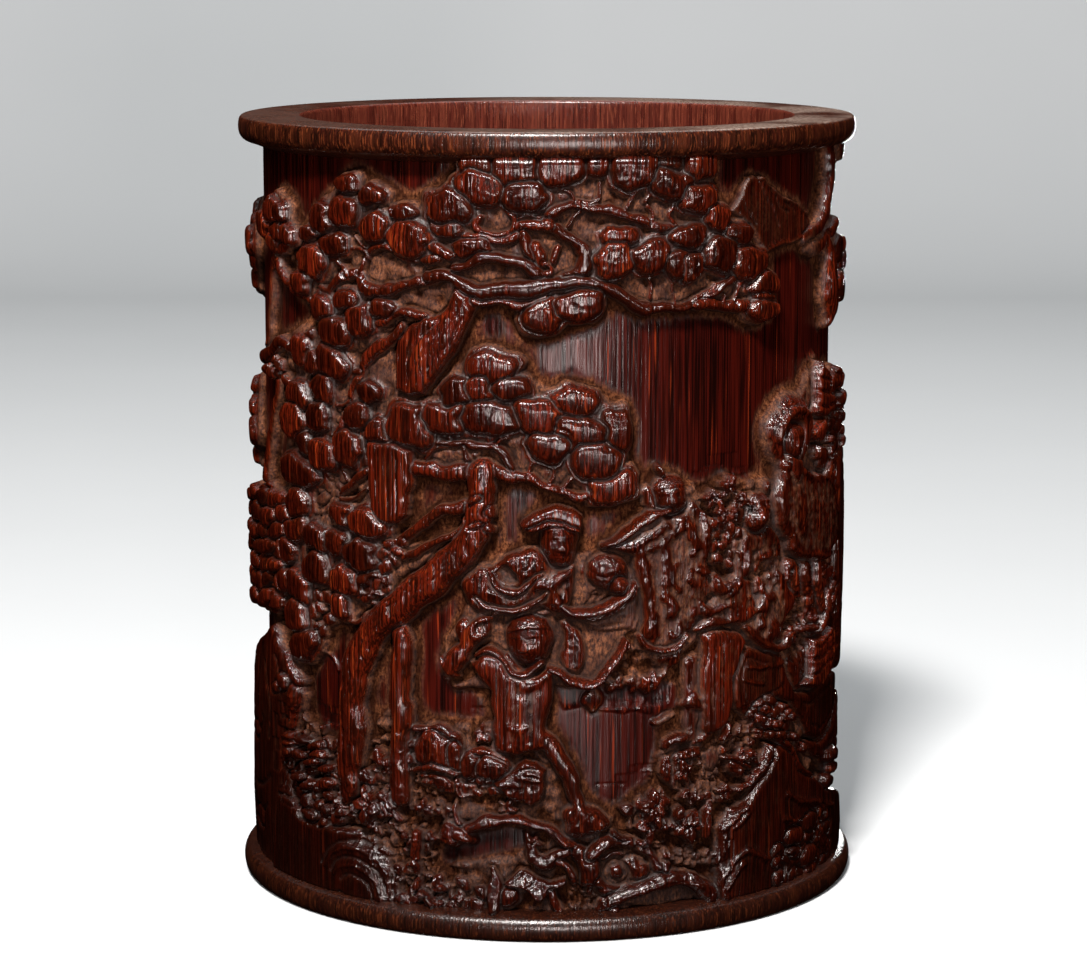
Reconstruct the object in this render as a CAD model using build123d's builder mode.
from build123d import *
import os
from math import sin, cos, radians

# Carved bamboo brush pot, standing upright.
# Frame: +Z up, origin at the centre of the foot's underside, the carved front faces -Y.
# Lengths in millimetres. Angles run round the pot from the front (-Y), positive towards +X.

os.makedirs("parts", exist_ok=True)

# ---- driving dimensions -------------------------------------------------
HEIGHT = 160.0          # foot underside to lip
R_WELL = 51.0           # inside of the well
R_GROUND = 59.1         # cut-back ground between the carvings
R_LIP = 64.2            # lip ring, at its bulge
R_FOOT = 64.8           # foot ring, at its bulge
LIP_UNDER = 153.6       # where the lip's underside meets the wall
FOOT_TOP = 5.6          # where the foot ring's shoulder meets the wall
SPIGOT_TOP_R = 56.0     # spigot on the wall's top end, inside the lip ring
WALL_TOP = 156.0        # top end of the wall, under the lip ring
SPIGOT_FOOT_R = 58.0    # spigot on the wall's bottom end, inside the foot ring
WALL_BOTTOM = 3.0       # bottom end of the wall, on the foot ring's ledge
LEDGE_R = 47.0          # inner edge of the ledge that carries the base plate
PLATE_R = 53.0          # base plate
PLATE_TOP = 8.0         # floor of the well
PLATE_CHAMFER = 0.4     # round the plate's lower edge

# carving
RELIEF = 3.9            # how far the carved masses stand out of the ground
EMBED = 0.6             # how far they reach into the wall, so that they join
FOOT_GAP = 0.3          # clear height between them and the foot ring
MASS_REACH = R_LIP + 10  # extrusion from the axis, past the outermost carving

# bamboo pegs
PEGS = 4
PEG_R = 1.1
LIP_PEG_CIRCLE = (R_WELL + SPIGOT_TOP_R) / 2  # mid-thickness of the top spigot
FOOT_PEG_CIRCLE = 55.6
LIP_PEG_LOW, LIP_PEG_HIGH = 150.0, 158.4
FOOT_PEG_HIGH = 12.0

# ring profiles: points are (radius, height)
LIP_ROUND = 0.9         # rounding of the lip's inner edge
LIP_UNDERCUT = (R_GROUND + 3.6, LIP_UNDER + 1.5)  # outer end of the sloping underside
LIP_BULGE = [(63.9, 156.2), (R_LIP, 157.8), (63.7, HEIGHT - 0.3)]
LIP_FLAT_R = 63.3       # outer edge of the flat top
FOOT_UNDERSIDE_R = R_FOOT - 1.2
FOOT_SHOULDER_R = R_GROUND + 2.4
FOOT_BULGE = [(63.6, 4.9), (R_FOOT, 2.9), (R_FOOT - 0.3, 1.0)]

# ---- carved masses: closed outlines of (angle, height) points ------------
FRONT = [
    # upper pine crown under the lip
    [(-50, 141), (-46, 146), (-38, 150), (-31, 148), (-22, 146), (-16, 150), (-14, 153.5),
     (30, 153.5), (33, 146), (38, 142), (43, 137), (48, 131), (47, 122), (38, 125), (18, 125),
     (8, 125), (1, 122), (-8, 124), (-15, 122), (-18, 117), (-26, 110), (-28, 117), (-36, 121),
     (-47, 122), (-50, 130)],
    # left crown that hangs down the old trunk
    [(-50, 121), (-40, 121), (-30, 121), (-31, 107), (-30, 92), (-28, 80), (-24, 73), (-32, 66),
     (-42, 60), (-56, 60), (-62, 66), (-62, 90), (-58, 108)],
    # lower bough crown
    [(-36, 105), (-20, 108), (-14, 117), (-5, 117), (1, 110), (8, 110), (14, 104), (15, 90),
     (8, 89), (-10, 93), (-30, 96)],
    # trunk
    [(-10, 92), (-12, 78), (-24, 66), (-32, 58), (-34, 30), (-44, 26), (-45, 50), (-34, 66),
     (-20, 82), (-15, 92)],
    # second trunk
    [(-31, 66), (-26, 66), (-25, 28), (-32, 28)],
    # standing scholars
    [(-13, 75), (-4, 84), (4, 87), (5, 76), (14, 66), (20, 56), (14, 52), (2, 50), (0, 40),
     (8, 30), (11, 24), (4, 24), (-3, 38), (-10, 38), (-12, 56), (-18, 62), (-16, 66), (-8, 66)],
    [(10, 78), (19, 86), (20, 95), (26, 88), (31, 82), (38, 80), (38, 62), (34, 58), (33, 40),
     (28, 38), (22, 56), (16, 66)],
    # ground shrubs and roots
    [(-33, 28), (-28, 42), (-4, 38), (2, 28), (12, 24), (20, 30), (27, 43), (34, 24), (34, 6.5),
     (-28, 6.5), (-30, 16)],
]
RIGHT = [
    # group at the table and the rocks behind it
    [(38, 82), (44, 86), (48, 100), (56, 104), (62, 112), (70, 110), (78, 98), (92, 96),
     (100, 84), (104, 60), (98, 42), (88, 30), (84, 6.5), (34, 6.5), (34, 38), (38, 58)],
    # cloud drift and hanging bough
    [(58, 138), (66, 138), (70, 150), (74, 151), (76, 138), (88, 136), (88, 124), (76, 122),
     (72, 134)],
]
BACK = [
    # broad mass below the lip
    [(108, 116), (112, 140), (124, 150), (150, 151), (166, 144), (176, 132), (168, 122),
     (150, 124), (138, 116), (122, 112)],
    # upright strip under it
    [(116, 112), (128, 114), (134, 92), (128, 70), (134, 40), (122, 36), (118, 60), (120, 90)],
    # long mass along the foot
    [(104, 6.5), (106, 34), (118, 44), (136, 40), (150, 30), (160, 44), (172, 70), (186, 74),
     (196, 56), (204, 34), (216, 26), (228, 6.5)],
    # separate mass above its far end
    [(180, 104), (190, 116), (206, 124), (224, 116), (232, 104), (214, 100), (196, 102)],
]
LEFT = [
    # smooth rock and the shrubs over it
    [(-48, 6.5), (-44, 26), (-52, 34), (-58, 50), (-62, 66), (-68, 88), (-80, 90), (-96, 76),
     (-104, 52), (-116, 30), (-128, 6.5)],
    # far bough and its stem
    [(-84, 86), (-80, 104), (-80, 128), (-74, 134), (-74, 145), (-84, 148), (-98, 142),
     (-104, 132), (-92, 128), (-88, 110), (-90, 88)],
]
# (angle the group is projected from, its outlines)
SIDES = [(-10.0, FRONT), (66.0, RIGHT), (165.0, BACK), (-85.0, LEFT)]


def side_plane(angle):
    """Upright plane through the axis, facing outwards at this angle, with local Y up."""
    a = radians(angle)
    return Plane(origin=(0, 0, 0), x_dir=(cos(a), sin(a), 0), z_dir=(sin(a), -cos(a), 0))


def carved_masses(facing, outlines):
    """Outlines pushed outwards from the axis, kept only inside the relief's thin shell."""
    mid_relief = R_GROUND + RELIEF / 2
    bottom = FOOT_TOP + FOOT_GAP
    with BuildPart() as masses:
        for outline in outlines:
            points = [(mid_relief * sin(radians(angle - facing)), z) for angle, z in outline]
            with BuildSketch(side_plane(facing)):
                with BuildLine():
                    Polyline(*points, close=True)
                make_face()
            extrude(amount=MASS_REACH)
        with BuildSketch(Plane.XY.offset(bottom)):
            Circle(R_GROUND + RELIEF)
            Circle(R_GROUND - EMBED, mode=Mode.SUBTRACT)
        extrude(amount=LIP_UNDER - bottom, mode=Mode.INTERSECT)
    return masses.part


def peg_ring(circle, low, high, mode=Mode.ADD):
    """Pegs, or their holes, between two heights, in the builder that is open."""
    with Locations((0, 0, low)):
        with PolarLocations(circle, PEGS, start_angle=45):
            Cylinder(PEG_R, high - low, align=(Align.CENTER, Align.CENTER, Align.MIN), mode=mode)


# ---- the wall: one length of bamboo, carved ------------------------------
side_masses = [carved_masses(facing, outlines) for facing, outlines in SIDES]

with BuildPart() as culm_wall:
    with BuildSketch(Plane.XZ):
        with BuildLine():
            Polyline(
                (R_WELL, PLATE_TOP), (R_WELL, WALL_TOP),
                (SPIGOT_TOP_R, WALL_TOP), (SPIGOT_TOP_R, LIP_UNDER),
                (R_GROUND, LIP_UNDER), (R_GROUND, FOOT_TOP),
                (SPIGOT_FOOT_R, FOOT_TOP), (SPIGOT_FOOT_R, WALL_BOTTOM),
                (PLATE_R, WALL_BOTTOM), (PLATE_R, PLATE_TOP), close=True)
        make_face()
    revolve(axis=Axis.Z)
    for masses_part in side_masses:
        add(masses_part)
    # blind peg holes in both ends
    peg_ring(LIP_PEG_CIRCLE, LIP_PEG_LOW, WALL_TOP, Mode.SUBTRACT)
    peg_ring(FOOT_PEG_CIRCLE, WALL_BOTTOM, FOOT_PEG_HIGH, Mode.SUBTRACT)

# ---- lip ring, turned, with a rebate that drops over the wall's top end --
round_r = R_WELL + LIP_ROUND    # centre of the inner rounding
round_z = HEIGHT - LIP_ROUND
round_mid = LIP_ROUND * sin(radians(45))

with BuildPart() as mouth_rim:
    with BuildSketch(Plane.XZ):
        with BuildLine():
            rebate = Polyline(
                (R_WELL, round_z), (R_WELL, WALL_TOP),
                (SPIGOT_TOP_R, WALL_TOP), (SPIGOT_TOP_R, LIP_UNDER),
                (R_GROUND, LIP_UNDER), LIP_UNDERCUT)
            bulge = Spline(rebate @ 1, *LIP_BULGE)
            outer_edge = Line(bulge @ 1, (LIP_FLAT_R, HEIGHT))
            flat_top = Line(outer_edge @ 1, (round_r, HEIGHT))
            ThreePointArc(flat_top @ 1, (round_r - round_mid, round_z + round_mid), rebate @ 0)
        make_face()
    revolve(axis=Axis.Z)
    peg_ring(LIP_PEG_CIRCLE, WALL_TOP, LIP_PEG_HIGH, Mode.SUBTRACT)

# ---- foot ring, turned, with the ledge that carries the base plate -------
with BuildPart() as foot_ring:
    with BuildSketch(Plane.XZ):
        with BuildLine():
            ledge = Polyline(
                (FOOT_UNDERSIDE_R, 0), (LEDGE_R, 0), (LEDGE_R, WALL_BOTTOM),
                (SPIGOT_FOOT_R, WALL_BOTTOM), (SPIGOT_FOOT_R, FOOT_TOP),
                (FOOT_SHOULDER_R, FOOT_TOP))
            Spline(ledge @ 1, *FOOT_BULGE, ledge @ 0)
        make_face()
    revolve(axis=Axis.Z)
    peg_ring(FOOT_PEG_CIRCLE, 0, WALL_BOTTOM, Mode.SUBTRACT)

# ---- base plate: a disc held between the wall's rebate and the foot's ledge
with BuildPart() as base_plate:
    with BuildSketch(Plane.XY.offset(WALL_BOTTOM)):
        Circle(PLATE_R)
    extrude(amount=PLATE_TOP - WALL_BOTTOM)
    lower_edge = base_plate.edges().filter_by(GeomType.CIRCLE).sort_by(Axis.Z)[0]
    chamfer(lower_edge, length=PLATE_CHAMFER)

# ---- bamboo pegs, one group per ring -------------------------------------
with BuildPart() as lip_pegs:
    peg_ring(LIP_PEG_CIRCLE, LIP_PEG_LOW, LIP_PEG_HIGH)

with BuildPart() as foot_pegs:
    peg_ring(FOOT_PEG_CIRCLE, 0, FOOT_PEG_HIGH)

pieces = {
    "culm_wall": culm_wall,
    "mouth_rim": mouth_rim,
    "foot_ring": foot_ring,
    "base_plate": base_plate,
    "lip_pegs": lip_pegs,
    "foot_pegs": foot_pegs,
}
for name, piece in pieces.items():
    piece.part.label = name
    export_step(piece.part, "parts/" + name + ".step")
